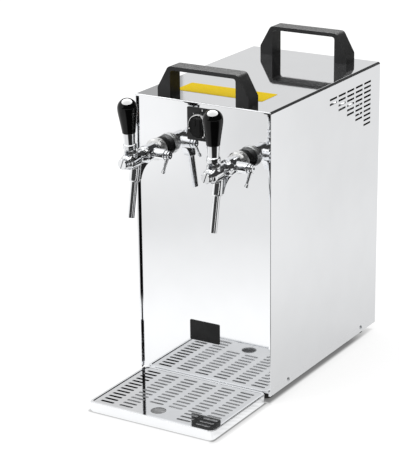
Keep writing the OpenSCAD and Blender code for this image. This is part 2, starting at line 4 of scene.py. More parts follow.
import bmesh
import bpy
import numpy as np
from mathutils import Matrix, Vector
from mathutils.bvhtree import BVHTree


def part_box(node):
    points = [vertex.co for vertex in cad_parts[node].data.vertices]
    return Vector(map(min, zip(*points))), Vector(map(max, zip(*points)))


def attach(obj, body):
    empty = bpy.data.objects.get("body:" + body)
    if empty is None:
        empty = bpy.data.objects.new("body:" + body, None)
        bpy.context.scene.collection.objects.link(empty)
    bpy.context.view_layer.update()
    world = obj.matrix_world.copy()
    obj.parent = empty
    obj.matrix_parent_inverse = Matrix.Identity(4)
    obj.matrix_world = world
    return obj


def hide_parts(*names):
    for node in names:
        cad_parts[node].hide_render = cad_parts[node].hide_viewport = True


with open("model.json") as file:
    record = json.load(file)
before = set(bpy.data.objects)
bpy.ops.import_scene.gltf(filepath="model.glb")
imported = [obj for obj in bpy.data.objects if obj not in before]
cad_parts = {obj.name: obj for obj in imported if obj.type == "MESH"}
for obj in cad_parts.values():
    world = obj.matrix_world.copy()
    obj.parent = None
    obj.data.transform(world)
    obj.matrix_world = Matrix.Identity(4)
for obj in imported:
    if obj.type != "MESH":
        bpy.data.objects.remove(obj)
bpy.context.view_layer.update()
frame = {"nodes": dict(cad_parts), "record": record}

NODES = frame["nodes"]
scene = bpy.context.scene

# ------------------------------------------------------------------ camera


def make_camera():
    az, el, roll = math.radians(31.4967), math.radians(18.7712), math.radians(-0.65518)
    back = Vector((math.sin(az) * math.cos(el), -math.cos(az) * math.cos(el), math.sin(el)))
    right = (-back).cross(Vector((0, 0, 1))).normalized()
    up = right.cross(-back)
    r2 = math.cos(roll) * right + math.sin(roll) * up
    u2 = -math.sin(roll) * right + math.cos(roll) * up
    data = bpy.data.cameras.new("camera")
    data.lens = 143.30
    data.sensor_width = 36.0
    data.sensor_fit = "AUTO"
    data.clip_start, data.clip_end = 0.05, 60.0
    cam = bpy.data.objects.new("camera", data)
    scene.collection.objects.link(cam)
    m = Matrix((r2, u2, back)).transposed().to_4x4()
    m.translation = Vector((1.267843, -2.180165, 1.064403))
    cam.matrix_world = m
    scene.camera = cam


make_camera()

# ------------------------------------------------------------------ material helpers


class Mat:
    """A node material built round one Principled shader."""

    def __init__(self, name):
        self.m = bpy.data.materials.new(name)
        self.m.use_nodes = True
        self.t = self.m.node_tree
        self.t.nodes.clear()
        self.out = self.t.nodes.new("ShaderNodeOutputMaterial")
        self.p = self.t.nodes.new("ShaderNodeBsdfPrincipled")
        self.t.links.new(self.p.outputs["BSDF"], self.out.inputs["Surface"])
        self.coord = self.t.nodes.new("ShaderNodeTexCoord")

    def set(self, **values):
        for k, v in values.items():
            self.p.inputs[k.replace("_", " ")].default_value = v
        return self

    def mapping(self, scale=(1, 1, 1), rot=(0, 0, 0)):
        n = self.t.nodes.new("ShaderNodeMapping")
        n.inputs["Scale"].default_value = scale
        n.inputs["Rotation"].default_value = rot
        self.t.links.new(self.coord.outputs["Object"], n.inputs["Vector"])
        return n.outputs["Vector"]

    def noise(self, scale, detail=3.0, rough=0.55, vector=None, distortion=0.0):
        n = self.t.nodes.new("ShaderNodeTexNoise")
        n.inputs["Scale"].default_value = scale
        n.inputs["Detail"].default_value = detail
        n.inputs["Roughness"].default_value = rough
        n.inputs["Distortion"].default_value = distortion
        self.t.links.new(vector if vector is not None else self.coord.outputs["Object"], n.inputs["Vector"])
        return n.outputs["Fac"]

    def ramp(self, fac, stops):
        n = self.t.nodes.new("ShaderNodeValToRGB")
        e = n.color_ramp.elements
        e[0].position, e[0].color = stops[0][0], (*stops[0][1], 1)
        e[1].position, e[1].color = stops[-1][0], (*stops[-1][1], 1)
        for pos, col in stops[1:-1]:
            x = e.new(pos)
            x.color = (*col, 1)
        self.t.links.new(fac, n.inputs["Fac"])
        return n.outputs["Color"]

    def span(self, fac, lo, hi, frm=(0.3, 0.7)):
        n = self.t.nodes.new("ShaderNodeMapRange")
        n.inputs["From Min"].default_value, n.inputs["From Max"].default_value = frm
        n.inputs["To Min"].default_value, n.inputs["To Max"].default_value = lo, hi
        self.t.links.new(fac, n.inputs["Value"])
        return n.outputs["Result"]

    def link(self, out, socket):
        self.t.links.new(out, self.p.inputs[socket])
        return self

    def bump(self, height, distance, strength=1.0):
        n = self.t.nodes.new("ShaderNodeBump")
        n.inputs["Strength"].default_value = strength
        n.inputs["Distance"].default_value = distance
        self.t.links.new(height, n.inputs["Height"])
        self.t.links.new(n.outputs["Normal"], self.p.inputs["Normal"])
        return self


def metal(name, lo, hi, r_lo, r_hi, grain=90.0, scratch=None, bump=0.0, bump_scale=400.0):
    """Bright metal: tone drifts a little, roughness follows fine rubbing marks."""
    a = Mat(name).set(Metallic=1.0)
    a.link(a.ramp(a.noise(grain * 0.12, 2.0), [(0.3, lo), (0.7, hi)]), "Base Color")
    v = a.mapping(scratch) if scratch else None
    a.link(a.span(a.noise(grain, 4.0, 0.6, v), r_lo, r_hi), "Roughness")
    if bump:
        a.bump(a.noise(bump_scale, 3.0, 0.5, v), bump)
    return a.m


def plastic(name, lo, hi, r_lo, r_hi, grain=900.0, bump=0.00002, tone=40.0, coat=0.0, coat_rough=0.05, level=0.5):
    """Moulded plastic: slightly uneven tone and a fine moulded grain."""
    a = Mat(name).set(Metallic=0.0, Specular_IOR_Level=level)
    if coat:
        a.set(Coat_Weight=coat, Coat_Roughness=coat_rough)
    a.link(a.ramp(a.noise(tone, 3.0), [(0.3, lo), (0.7, hi)]), "Base Color")
    a.link(a.span(a.noise(tone * 2.3, 3.0), r_lo, r_hi), "Roughness")
    if bump:
        a.bump(a.noise(grain, 4.0, 0.6), bump)
    return a.m


def grey(v, tint=(1.0, 1.0, 1.0)):
    return (v * tint[0], v * tint[1], v * tint[2])


COOL = (0.985, 0.995, 1.01)
M = {}
M["polished_steel"] = metal("polished_steel", grey(0.915, COOL), grey(0.935, COOL), 0.030, 0.052, 160.0, (1, 1, 6))
M["steel_sheet"] = metal("steel_sheet", grey(0.60, COOL), grey(0.70, COOL), 0.22, 0.36, 260.0, (14, 14, 1), 0.00001, 500.0)
M["chrome"] = metal("chrome", grey(0.86, COOL), grey(0.90, COOL), 0.030, 0.060, 220.0)
M["satin_nickel"] = metal("satin_nickel", (0.80, 0.80, 0.79), (0.90, 0.90, 0.89), 0.24, 0.32, 420.0, (1, 12, 1))
M["tray_steel"] = metal("tray_steel", grey(0.93, COOL), grey(0.95, COOL), 0.045, 0.085, 300.0, (1, 9, 9))
M["grid_steel"] = metal("grid_steel", grey(0.76, COOL), grey(0.80, COOL), 0.040, 0.070, 300.0, (1, 9, 9))
M["zinc_steel"] = metal("zinc_steel", (0.55, 0.57, 0.60), (0.70, 0.71, 0.72), 0.20, 0.36, 180.0)
M["brass"] = metal("brass", (0.66, 0.48, 0.20), (0.77, 0.60, 0.30), 0.18, 0.32, 160.0)
M["aluminium"] = metal("aluminium", grey(0.62), grey(0.74), 0.28, 0.46, 140.0, None, 0.00002, 700.0)
M["copper"] = metal("copper", (0.66, 0.32, 0.19), (0.80, 0.46, 0.31), 0.20, 0.36, 120.0)
M["black_plastic"] = plastic("black_plastic", grey(0.0055, COOL), grey(0.008, COOL), 0.38, 0.48, 1500.0, 0.000025, level=0.10)
M["gloss_black"] = plastic("gloss_black", grey(0.0012), grey(0.0018), 0.030, 0.06, 300.0, 0.0, 60.0, level=0.26)
M["black_plate"] = plastic("black_plate", grey(0.015, COOL), grey(0.023, COOL), 0.30, 0.42, 1200.0, 0.00001, level=0.08)
M["dial_plate"] = plastic("dial_plate", grey(0.026, COOL), grey(0.040, COOL), 0.30, 0.42, 1200.0, 0.00001, level=0.08)
M["rubber"] = plastic("rubber", grey(0.016), grey(0.026), 0.62, 0.78, 800.0, 0.00004, level=0.15)
M["white_plastic"] = plastic("white_plastic", (0.74, 0.73, 0.68), (0.82, 0.81, 0.77), 0.38, 0.5)
M["foam"] = plastic("foam", (0.76, 0.71, 0.58), (0.86, 0.83, 0.72), 0.8, 0.95, 500.0, 0.0004, 90.0)
M["black_enamel"] = plastic("black_enamel", grey(0.014), grey(0.022), 0.22, 0.34, 200.0, 0.00003)
M["white_print"] = plastic("white_print", grey(0.80), grey(0.88), 0.45, 0.6, 600.0, 0.0)


def label_material():
    """Yellow foil with faint ruled lines."""
    a = Mat("yellow_label").set(Metallic=0.0, Specular_IOR_Level=0.012)
    wave = a.t.nodes.new("ShaderNodeTexWave")
    wave.wave_type, wave.bands_direction, wave.wave_profile = "BANDS", "Y", "SIN"
    wave.inputs["Scale"].default_value = 71.0
    wave.inputs["Distortion"].default_value = 0.0
    a.t.links.new(a.coord.outputs["Object"], wave.inputs["Vector"])
    a.link(a.ramp(wave.outputs["Fac"], [(0.0, (0.50, 0.34, 0.002)), (0.28, (0.72, 0.51, 0.003)), (1.0, (0.78, 0.56, 0.004))]), "Base Color")
    a.link(a.span(a.noise(120.0), 0.28, 0.4), "Roughness")
    return a.m


M["yellow_label"] = label_material()


def tray_inside_material():
    """Matt blasted steel, with painted shade darkening it along the left wall."""
    a = Mat("tray_inside").set(Metallic=0.0, Specular_IOR_Level=0.05)
    split = a.t.nodes.new("ShaderNodeSeparateXYZ")
    a.t.links.new(a.coord.outputs["Object"], split.inputs["Vector"])
    along = a.span(split.outputs["X"], 0.0, 1.0, (-0.11, 0.11))
    # painted shade: the base colour is nearly black next to the left wall, where that wall's shadow falls, and lightens
    # a little further right
    a.link(a.ramp(along, [(0.0, grey(0.02)), (0.115, grey(0.03)), (0.185, grey(0.50, COOL)), (1.0, grey(0.60, COOL))]), "Base Color")
    a.link(a.span(a.noise(240.0, 4.0, 0.6), 0.5, 0.65), "Roughness")
    return a.m


M["tray_inside"] = tray_inside_material()

# ------------------------------------------------------------------ CAD nodes: finish and softened edges

SLOT = {s["node"]: s["material_slot"] for s in frame["record"]["subparts"]}

# edge radius in metres and number of segments
EDGE = {
    "front_handle": (0.0021, 3), "rear_handle": (0.0021, 3),  "drip_tray": (0.0006, 2), "drip_grid": (0.00035, 2), "thermostat_knob": (0.0008, 3), "name_plate": (0.0003, 2),
    "thermostat_plate": (0.0003, 2), "top_label": (0.0001, 1), "rubber_feet": (0.0008, 2), "mains_gland": (0.0006, 2),
    "beer_inlets": (0.0005, 2), "left_beer_line": (0.0, 0), "right_beer_line": (0.0, 0), "refrigerant_lines": (0.0, 0),
    "left_grip": (0.0016, 4), "right_grip": (0.0016, 4), "insulation_shell": (0.002, 2), "insulation_lid": (0.002, 2),
    "compressor": (0.002, 2), "side_screws": (0.0002, 2),
}


def soften(o, width, segments, angle=30.0):
    me = o.data
    if "custom_normal" in me.attributes:
        me.attributes.remove(me.attributes["custom_normal"])
    if "sharp_edge" in me.attributes:
        me.attributes.remove(me.attributes["sharp_edge"])
    if "sharp_face" in me.attributes:
        me.attributes.remove(me.attributes["sharp_face"])
    w = o.modifiers.new("weld", "WELD")
    w.merge_threshold = 0.000002
    if width:
        b = o.modifiers.new("edges", "BEVEL")
        b.width = width
        b.segments = segments
        b.limit_method = "ANGLE"
        b.angle_limit = math.radians(angle)
        b.use_clamp_overlap = True
        b.harden_normals = True
        b.miter_outer = "MITER_ARC"


# sheets keep the exact flat normals they come with
FLAT = ("cover", "front_panel", "rear_panel", "base_pan", "drip_grid")
FINISH = {"drip_grid": "grid_steel", "thermostat_plate": "dial_plate", "left_ring_nut": "satin_nickel", "right_ring_nut": "satin_nickel"}

for name, o in NODES.items():
    o.data.materials.clear()
    o.data.materials.append(M[FINISH.get(name, SLOT[name])])
    if name in FLAT:
        continue
    width, segments = EDGE.get(name, (0.0004, 2))
    soften(o, width, segments)



def tray_inside():
    """Dull, shaded inside of the drip tray."""
    o = NODES["drip_tray"]
    lo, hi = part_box("drip_grid")
    o.data.materials.append(M["tray_inside"])
    for p in o.data.polygons:
        c = p.center
        if lo.x + 0.0022 < c.x < hi.x - 0.0022 and lo.y + 0.0022 < c.y < hi.y - 0.0022 and 0.001 < c.z < lo.z - 0.0002:
            p.material_index = 1


tray_inside()

# ------------------------------------------------------------------ new pieces


def add_mesh(name, bm, material, body, smooth=True):
    me = bpy.data.meshes.new(name)
    bm.normal_update()
    bm.to_mesh(me)
    bm.free()
    for p in me.polygons:
        p.use_smooth = smooth
    me.materials.append(material)
    o = bpy.data.objects.new(name, me)
    scene.collection.objects.link(o)
    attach(o, body)
    return o


def cover_sheet():
    """The cover with its front edge bent round instead of square."""
    src = NODES["cover"]
    lo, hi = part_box("cover")
    hw, top, r, hem = hi.x, hi.z, 0.0036, 0.0017
    bm = bmesh.new()
    bm.from_mesh(src.data)
    bmesh.ops.remove_doubles(bm, verts=bm.verts, dist=0.000002)
    cut = lo.y + 0.012
    bmesh.ops.bisect_plane(bm, geom=list(bm.verts) + list(bm.edges) + list(bm.faces), dist=0.000001,
                           plane_co=(0, cut, 0), plane_no=(0, 1, 0))
    front = [v for v in bm.verts if v.co.y < cut + 0.000005]
    inside = set(front)
    edges = [e for e in bm.edges if e.verts[0] in inside and e.verts[1] in inside]
    bmesh.ops.dissolve_limit(bm, angle_limit=math.radians(0.4), verts=front, edges=edges)

    def outer(v):
        if abs(v.co.y - lo.y) > 1e-5:
            return False
        x = abs(v.co.x)
        if x > hw - 1e-5 or v.co.z > top - 1e-5:
            return True
        return x > hw - r and v.co.z > top - r and math.hypot(x - (hw - r), v.co.z - (top - r)) > r - 1e-4

    for f in bm.faces:
        f.smooth = True
    for e in bm.edges:
        if len(e.link_faces) == 2:
            a = math.degrees(e.calc_face_angle(0.0))
            e.smooth = not (a > 20.0 or 1.0 < a < 6.0)
    weight = bm.edges.layers.float.new("bevel_weight_edge")
    for e in bm.edges:
        if outer(e.verts[0]) and outer(e.verts[1]):
            # full bend along the top, tighter down the sides
            z = (e.verts[0].co.z + e.verts[1].co.z) / 2
            e[weight] = 0.41 + 0.59 * max(0.0, min(1.0, (z - (top - r)) / r))
    me = bpy.data.meshes.new("cover_sheet")
    bm.to_mesh(me)
    bm.free()
    me.materials.append(M["polished_steel"])
    o = bpy.data.objects.new("cover_sheet", me)
    scene.collection.objects.link(o)
    b = o.modifiers.new("hem", "BEVEL")
    b.width = hem
    b.segments = 6
    b.limit_method = "WEIGHT"
    b.use_clamp_overlap = True
    b.harden_normals = True
    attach(o, "casing")
    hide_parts("cover")
    return o


cover_sheet()


def running_fits(me, moving):
    """Weights for the blending: none in bores and beside the pieces that move in them."""
    verts, faces = [], []
    for part, shifts in moving:
        for dy in shifts:
            base = len(verts)
            verts += [v.co + Vector((0.0, dy, 0.0)) for v in NODES[part].data.vertices]
            faces += [tuple(base + k for k in f.vertices) for f in NODES[part].data.polygons]
    near = BVHTree.FromPolygons(verts, faces)
    own = BVHTree.FromPolygons([v.co for v in me.vertices], [tuple(f.vertices) for f in me.polygons])
    weights = []
    for v in me.vertices:
        n = v.normal
        if own.ray_cast(v.co + n * 0.0003, n, 0.014)[0] is not None:
            weights.append(0.0)
            continue
        d = near.find_nearest(v.co, 0.0022)[3]
        weights.append(1.0 if d is None else min(1.0, max(0.0, (d - 0.0010) / 0.0012)))
    return weights


def cast_body(name, node, moving):
    """The tap's cast body: the CAD solid with its joins blended into each other."""
    src = NODES[node]
    me = bpy.data.meshes.new(name)
    bm = bmesh.new()
    bm.from_mesh(src.data)
    bmesh.ops.remove_doubles(bm, verts=bm.verts, dist=0.000002)
    bm.to_mesh(me)
    bm.free()
    o = bpy.data.objects.new(name, me)
    scene.collection.objects.link(o)
    r = o.modifiers.new("cast", "REMESH")
    r.mode = "VOXEL"
    r.voxel_size = 0.00045
    r.use_smooth_shade = True
    bpy.context.view_layer.update()
    raw = bpy.data.meshes.new_from_object(o.evaluated_get(bpy.context.evaluated_depsgraph_get()))
    o.modifiers.clear()
    o.data = raw
    group = o.vertex_groups.new(name="blend")
    for i, w in enumerate(running_fits(raw, moving)):
        group.add((i,), w, "REPLACE")
    s = o.modifiers.new("blend", "SMOOTH")
    s.factor = 0.5
    s.iterations = 34
    s.vertex_group = "blend"
    bpy.context.view_layer.update()
    dg = bpy.context.evaluated_depsgraph_get()
    done = bpy.data.meshes.new_from_object(o.evaluated_get(dg))
    o.modifiers.clear()
    o.data = done
    for p in done.polygons:
        p.use_smooth = True
    done.materials.clear()
    done.materials.append(M["chrome"])
    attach(o, "casing")
    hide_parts(node)
    return o


for side in ("left", "right"):
    cast_body(side + "_cast_body", side + "_tap_body",
              ((side + "_valve_stem", (-0.004, -0.002, 0.0, 0.002, 0.004)), (side + "_lever", (0.0,)), (side + "_comp_lever", (0.0,))))


def turned_grip(name, node, body):
    """The grip turned again about its own axis, its outline rounded where dome and taper meet."""
    co = np.array([v.co for v in NODES[node].data.vertices])
    mid = co.mean(axis=0)
    axis = np.linalg.svd(co - mid, full_matrices=False)[2][0]
    if axis[2] < 0:
        axis = -axis
    t = (co - mid) @ axis
    rad = np.linalg.norm((co - mid) - np.outer(t, axis), axis=1)
    t0, t1 = t.min(), t.max()
    # outline from the lower rim to the tip, by distance along it
    knots = {}
    for a, b in zip(t, rad):
        if b > 0.0036 or a > t1 - 0.002:
            k = round(float(a - t0), 5)
            knots[k] = max(knots.get(k, 0.0), float(b))
    pts = np.array(sorted(knots.items()))
    pts = np.vstack([pts, [t1 - t0, 0.0]]) if pts[-1][1] > 1e-5 else pts
    run = np.concatenate([[0.0], np.cumsum(np.linalg.norm(np.diff(pts, axis=0), axis=1))])
    n = 170
    u = np.linspace(0.0, run[-1], n)
    zz, rr = np.interp(u, run, pts[:, 0]), np.interp(u, run, pts[:, 1])
    # mirrored past the tip so that the dome stays round there
    z2, r2 = np.concatenate([zz, zz[-2::-1]]), np.concatenate([rr, -rr[-2::-1]])
    sig = 0.0028 / (u[1] - u[0])
    k = np.arange(-int(3 * sig), int(3 * sig) + 1)
    g = np.exp(-0.5 * (k / sig) ** 2)
    g /= g.sum()
    zs = np.convolve(z2, g, "same")[:n]
    rs = np.convolve(r2, g, "same")[:n]
    keep = np.clip((zz - 0.006) / 0.006, 0.0, 1.0)
    zs, rs = zz + (zs - zz) * keep, rr + (rs - rr) * keep
    rs[-1] = 0.0
    w = Vector(axis)
    e1 = w.orthogonal().normalized()
    e2 = w.cross(e1)
    base = Vector(mid) + w * t0
    bm = bmesh.new()
    seg = 96
    rings = []
    for i in range(n - 1):
        rings.append([bm.verts.new(base + w * zs[i] + (e1 * math.cos(6.283185307 * q / seg) + e2 * math.sin(6.283185307 * q / seg)) * rs[i])
                      for q in range(seg)])
    tip = bm.verts.new(base + w * zs[-1])
    for a, b in zip(rings, rings[1:]):
        for q in range(seg):
            bm.faces.new((a[q], a[(q + 1) % seg], b[(q + 1) % seg], b[q]))
    for q in range(seg):
        bm.faces.new((rings[-1][q], rings[-1][(q + 1) % seg], tip))
    # seat on the lever, with the lever's hole left open
    inner = [bm.verts.new(base + (e1 * math.cos(6.283185307 * q / seg) + e2 * math.sin(6.283185307 * q / seg)) * 0.00306) for q in range(seg)]
    for q in range(seg):
        bm.faces.new((inner[q], inner[(q + 1) % seg], rings[0][(q + 1) % seg], rings[0][q]))
    o = add_mesh(name, bm, M["gloss_black"], body)
    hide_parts(node)
    return o


GRIPS = [turned_grip(side + "_turned_grip", side + "_grip", side + "_lever_body") for side in ("left", "right")]


def prism(bm, outline, y0, y1):
    """A thin solid from an XZ outline between y0 and y1."""
    a = [bm.verts.new((x, y0, z)) for x, z in outline]
    b = [bm.verts.new((x, y1, z)) for x, z in outline]
    n = len(outline)
    bm.faces.new(a)
    bm.faces.new(list(reversed(b)))
    for i in range(n):
        bm.faces.new((a[i], b[i], b[(i + 1) % n], a[(i + 1) % n]))


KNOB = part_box("thermostat_knob")
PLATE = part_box("thermostat_plate")
KX, KZ = (KNOB[0].x + KNOB[1].x) / 2, (KNOB[0].z + KNOB[1].z) / 2


def knob_scale():
    """Printed crescent with a dot at each end, on the knob's skirt."""
    bm = bmesh.new()
    y1 = KNOB[1].y - 0.0102
    y0 = y1 - 0.00006

    def stroke(points):
        """A white line through (angle, radius, width) points, in degrees and mm."""
        inner, outer = [], []
        for (a0, r0, w0), (a1, r1, w1) in zip(points, points[1:]):
            for i in range(12):
                f = i / 12
                d, r, w = math.radians(a0 + (a1 - a0) * f), r0 + (r1 - r0) * f, w0 + (w1 - w0) * f
                for lst, q in ((outer, r + w / 2), (inner, r - w / 2)):
                    lst.append((KX + 0.001 * q * math.cos(d), KZ + 0.001 * q * math.sin(d)))
        prism(bm, outer + list(reversed(inner)), y0, y1)

    stroke(((188, 16.2, 0.35), (135, 16.2, 0.7), (100, 16.1, 1.2), (80, 16.1, 1.3)))
    stroke(((78, 16.3, 0.9), (40, 16.4, 0.7), (0, 16.4, 0.7), (-52, 16.4, 0.7)))
    # A wide white hook inside the crescent's right half, curving in towards the middle of the knob.
    stroke(((76, 15.6, 1.2), (66, 14.6, 1.5), (50, 12.4, 1.7), (25, 9.6, 1.7), (0, 8.8, 1.7), (-20, 9.7, 1.7), (-35, 11.7, 1.7), (-50, 14.6, 1.5), (-56, 15.8, 1.0)))
    for a, r in ((195.0, 0.0154), (-63.0, 0.0158)):
        c = (KX + r * math.cos(math.radians(a)), KZ + r * math.sin(math.radians(a)))
        prism(bm, [(c[0] + 0.00095 * math.cos(t * math.pi / 8), c[1] + 0.00095 * math.sin(t * math.pi / 8)) for t in range(16)], y0, y1)
    bmesh.ops.recalc_face_normals(bm, faces=bm.faces)
    return add_mesh("knob_scale", bm, M["white_print"], "knob_body", smooth=False)


def plate_ticks():
    """Fixed marks on the plate round the knob."""
    bm = bmesh.new()
    y1 = PLATE[0].y + 0.00001
    y0 = y1 - 0.00006
    for a, r0, r1, w in ((90, 0.0187, 0.0216, 0.0011), (135, 0.0190, 0.0208, 0.0008), (45, 0.0190, 0.0208, 0.0008),
                         (180, 0.0190, 0.0208, 0.0008), (0, 0.0190, 0.0208, 0.0008)):
        c, s = math.cos(math.radians(a)), math.sin(math.radians(a))
        prism(bm, [(KX + r * c - e * s, KZ + r * s + e * c) for r, e in ((r0, -w / 2), (r1, -w / 2), (r1, w / 2), (r0, w / 2))], y0, y1)
    bmesh.ops.recalc_face_normals(bm, faces=bm.faces)
    return add_mesh("plate_ticks", bm, M["white_print"], "casing", smooth=False)


knob_scale()
plate_ticks()

# ------------------------------------------------------------------ floor, light and what the metal mirrors


def stage_mesh(name, verts, faces, material):
    me = bpy.data.meshes.new(name)
    me.from_pydata(verts, [], faces)
    me.materials.append(material)
    o = bpy.data.objects.new(name, me)
    scene.collection.objects.link(o)
    return o


def glow(name, strength, colour=(1, 1, 1)):
    m = bpy.data.materials.new(name)
    m.use_nodes = True
    t = m.node_tree
    t.nodes.clear()
    out = t.nodes.new("ShaderNodeOutputMaterial")
    e = t.nodes.new("ShaderNodeEmission")
    e.inputs["Color"].default_value = (*colour, 1)
    e.inputs["Strength"].default_value = strength
    t.links.new(e.outputs["Emission"], out.inputs["Surface"])
    m.cycles.emission_sampling = "NONE"
    return m


def mirror_only(o):
    """Seen only in reflections, like a card outside the picture."""
    o.visible_camera = False
    o.visible_diffuse = False
    o.visible_shadow = False
    o.visible_transmission = False
    o.visible_volume_scatter = False
    return o


def floor_material():
    m = bpy.data.materials.new("floor")
    m.use_nodes = True
    t = m.node_tree
    t.nodes.clear()
    out = t.nodes.new("ShaderNodeOutputMaterial")
    d = t.nodes.new("ShaderNodeBsdfDiffuse")
    d.inputs["Color"].default_value = (0.30, 0.30, 0.30, 1)
    e = t.nodes.new("ShaderNodeEmission")
    e.inputs["Color"].default_value = (1, 1, 1, 1)
    e.inputs["Strength"].default_value = 0.795
    add = t.nodes.new("ShaderNodeAddShader")
    t.links.new(d.outputs["BSDF"], add.inputs[0])
    t.links.new(e.outputs["Emission"], add.inputs[1])
    t.links.new(add.outputs["Shader"], out.inputs["Surface"])
    m.cycles.emission_sampling = "NONE"
    return m


F = 14.0
stage_mesh("floor", [(-F, -F, -0.0004), (F, -F, -0.0004), (F, F, -0.0004), (-F, F, -0.0004)], [(0, 1, 2, 3)], floor_material())


def dome():
    """Dim room round the set, seen only in reflections."""
    R, nu, nv = 11.0, 48, 12
    verts, faces = [], []
    for j in range(nv + 1):
        e = math.pi / 2 * j / nv
        for i in range(nu):
            a = 2 * math.pi * i / nu
            verts.append((R * math.cos(e) * math.cos(a), R * math.cos(e) * math.sin(a), R * math.sin(e)))
    for j in range(nv):
        for i in range(nu):
            k = (i + 1) % nu
            faces.append((j * nu + i, j * nu + k, (j + 1) * nu + k, (j + 1) * nu + i))
    return mirror_only(stage_mesh("room", verts, faces, glow("room", 0.05)))


dome()


def direction(az, el):
    """Azimuth 0 is towards the front of the object, 90 towards its right."""
    a, e = math.radians(az), math.radians(el)
    return Vector((math.sin(a) * math.cos(e), -math.cos(a) * math.cos(e), math.sin(e)))


def sky_card(name, az0, az1, el0, el1, strength, dist=9.5):
    """Bright card on the far side of the room between two azimuths and elevations."""
    n, k = 48, 12
    verts, faces = [], []
    for j in range(k + 1):
        for i in range(n + 1):
            verts.append(direction(az0 + (az1 - az0) * i / n, el0 + (el1 - el0) * j / k) * dist)
    for j in range(k):
        for i in range(n):
            a = j * (n + 1) + i
            faces.append((a, a + 1, a + n + 2, a + n + 1))
    return mirror_only(stage_mesh(name, verts, faces, glow(name, strength)))


# sweep behind the set, mirrored in the casing's top
sky_card("card_back", 194.0, 212.5, 0.0, 21.0, 0.73)
sky_card("card_back_edge", 212.5, 217.5, 0.0, 21.0, 0.42)
sky_card("card_back_high", 200.0, 238.0, 21.0, 31.0, 0.80, 9.3)
sky_card("card_back_right", 157.0, 192.0, 0.0, 21.0, 0.62)
# bright left half of the room, mirrored in the taps and, by way of the front panel, in the drip grid
sky_card("card_left_low", -135.0, -32.0, 0.0, 9.0, 0.92)
sky_card("card_left", -135.0, -15.0, 9.0, 42.0, 0.88)


def diffuser(name, strength, top, low=None, dist=9.2):
    """Large diffuser overhead, its edge hanging lower on the left than on the right."""
    n, k = 96, 14
    verts, faces = [], []
    for j in range(k + 1):
        for i in range(n):
            az = 360.0 * i / n
            edge = low if low is not None else 43.5 - 8.5 * math.cos(math.radians(az + 95.0))
            verts.append(direction(az, edge + (top - edge) * j / k) * dist)
    for j in range(k):
        for i in range(n):
            b = (i + 1) % n
            faces.append((j * n + i, j * n + b, (j + 1) * n + b, (j + 1) * n + i))
    return mirror_only(stage_mesh(name, verts, faces, glow(name, strength)))


diffuser("diffuser", 1.35, 62.0)
diffuser("diffuser_top", 0.86, 90.0, 62.0)


def step(x, a, b):
    x = max(0.0, min(1.0, (x - a) / (b - a)))
    return x * x * (3 - 2 * x)


def shade_material(name):
    """Dark where the mesh's shade attribute is 1, clear where it is 0."""
    m = bpy.data.materials.new(name)
    m.use_nodes = True
    t = m.node_tree
    t.nodes.clear()
    out = t.nodes.new("ShaderNodeOutputMaterial")
    dark = t.nodes.new("ShaderNodeEmission")
    dark.inputs["Color"].default_value = (1, 1, 1, 1)
    dark.inputs["Strength"].default_value = 0.02
    clear = t.nodes.new("ShaderNodeBsdfTransparent")
    mix = t.nodes.new("ShaderNodeMixShader")
    attr = t.nodes.new("ShaderNodeAttribute")
    attr.attribute_name = "shade"
    t.links.new(attr.outputs["Fac"], mix.inputs["Fac"])
    t.links.new(clear.outputs["BSDF"], mix.inputs[1])
    t.links.new(dark.outputs["Emission"], mix.inputs[2])
    t.links.new(mix.outputs["Shader"], out.inputs["Surface"])
    m.cycles.emission_sampling = "NONE"
    return m


def contact_shadow():
    """Dark floor under the casing, where no light gets in between the feet."""
    lo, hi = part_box("cover")
    n, pad = 190, 0.025
    x0, x1, y0, y1 = lo.x - pad, hi.x + pad, lo.y - pad, hi.y + pad
    verts, faces, shade = [], [], []
    for j in range(n + 1):
        for i in range(n + 1):
            x, y = x0 + (x1 - x0) * i / n, y0 + (y1 - y0) * j / n
            ax, ay = max(lo.x - x, x - hi.x), max(lo.y - y, y - hi.y)
            d = max(ax, ay) if max(ax, ay) < 0 else math.hypot(max(ax, 0), max(ay, 0))
            verts.append((x, y, 0.0002))
            a = 0.66 * (1 - step(d, -0.0065, 0.0012)) + 0.16 * (1 - step(d, -0.020, 0.0)) + 0.06 * (1 - step(d, -0.002, 0.012))
            shade.append(a * (1 - 0.7 * step(y, 0.15, 0.23)))
    for j in range(n):
        for i in range(n):
            a = j * (n + 1) + i
            faces.append((a, a + 1, a + n + 2, a + n + 1))
    o = stage_mesh("contact_shadow", verts, faces, shade_material("contact_shadow"))
    o.visible_diffuse = False
    o.visible_shadow = False
    at = o.data.attributes.new("shade", "FLOAT", "POINT")
    at.data.foreach_set("value", shade)


contact_shadow()


def tray_shadow():
    """Thin shade where the tray meets the floor, softer and wider on its right."""
    lo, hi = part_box("drip_tray")
    nx, ny, pad, rc = 260, 190, 0.016, 0.004
    x0, x1, y0, y1 = lo.x - pad, hi.x + pad, lo.y - pad, hi.y - 0.002
    verts, faces, shade = [], [], []
    for j in range(ny + 1):
        for i in range(nx + 1):
            x, y = x0 + (x1 - x0) * i / nx, y0 + (y1 - y0) * j / ny
            ax, ay = max(lo.x - x, x - hi.x) + rc, lo.y - y + rc
            d = (max(ax, ay) if max(ax, ay) < 0 else math.hypot(max(ax, 0), max(ay, 0))) - rc
            right = step(x, hi.x - 0.006, hi.x + 0.001)
            a = (0.34 + 0.10 * right) * (1 - step(d, 0.0, 0.0024)) + (0.05 + 0.24 * right) * (1 - step(d, 0.0, 0.012))
            verts.append((x, y, 0.00035))
            shade.append(a)
    for j in range(ny):
        for i in range(nx):
            a = j * (nx + 1) + i
            faces.append((a, a + 1, a + nx + 2, a + nx + 1))
    o = stage_mesh("tray_shadow", verts, faces, shade_material("tray_shadow"))
    o.visible_diffuse = False
    o.visible_shadow = False
    o.visible_glossy = False
    at = o.data.attributes.new("shade", "FLOAT", "POINT")
    at.data.foreach_set("value", shade)
    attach(o, "tray_body")


tray_shadow()


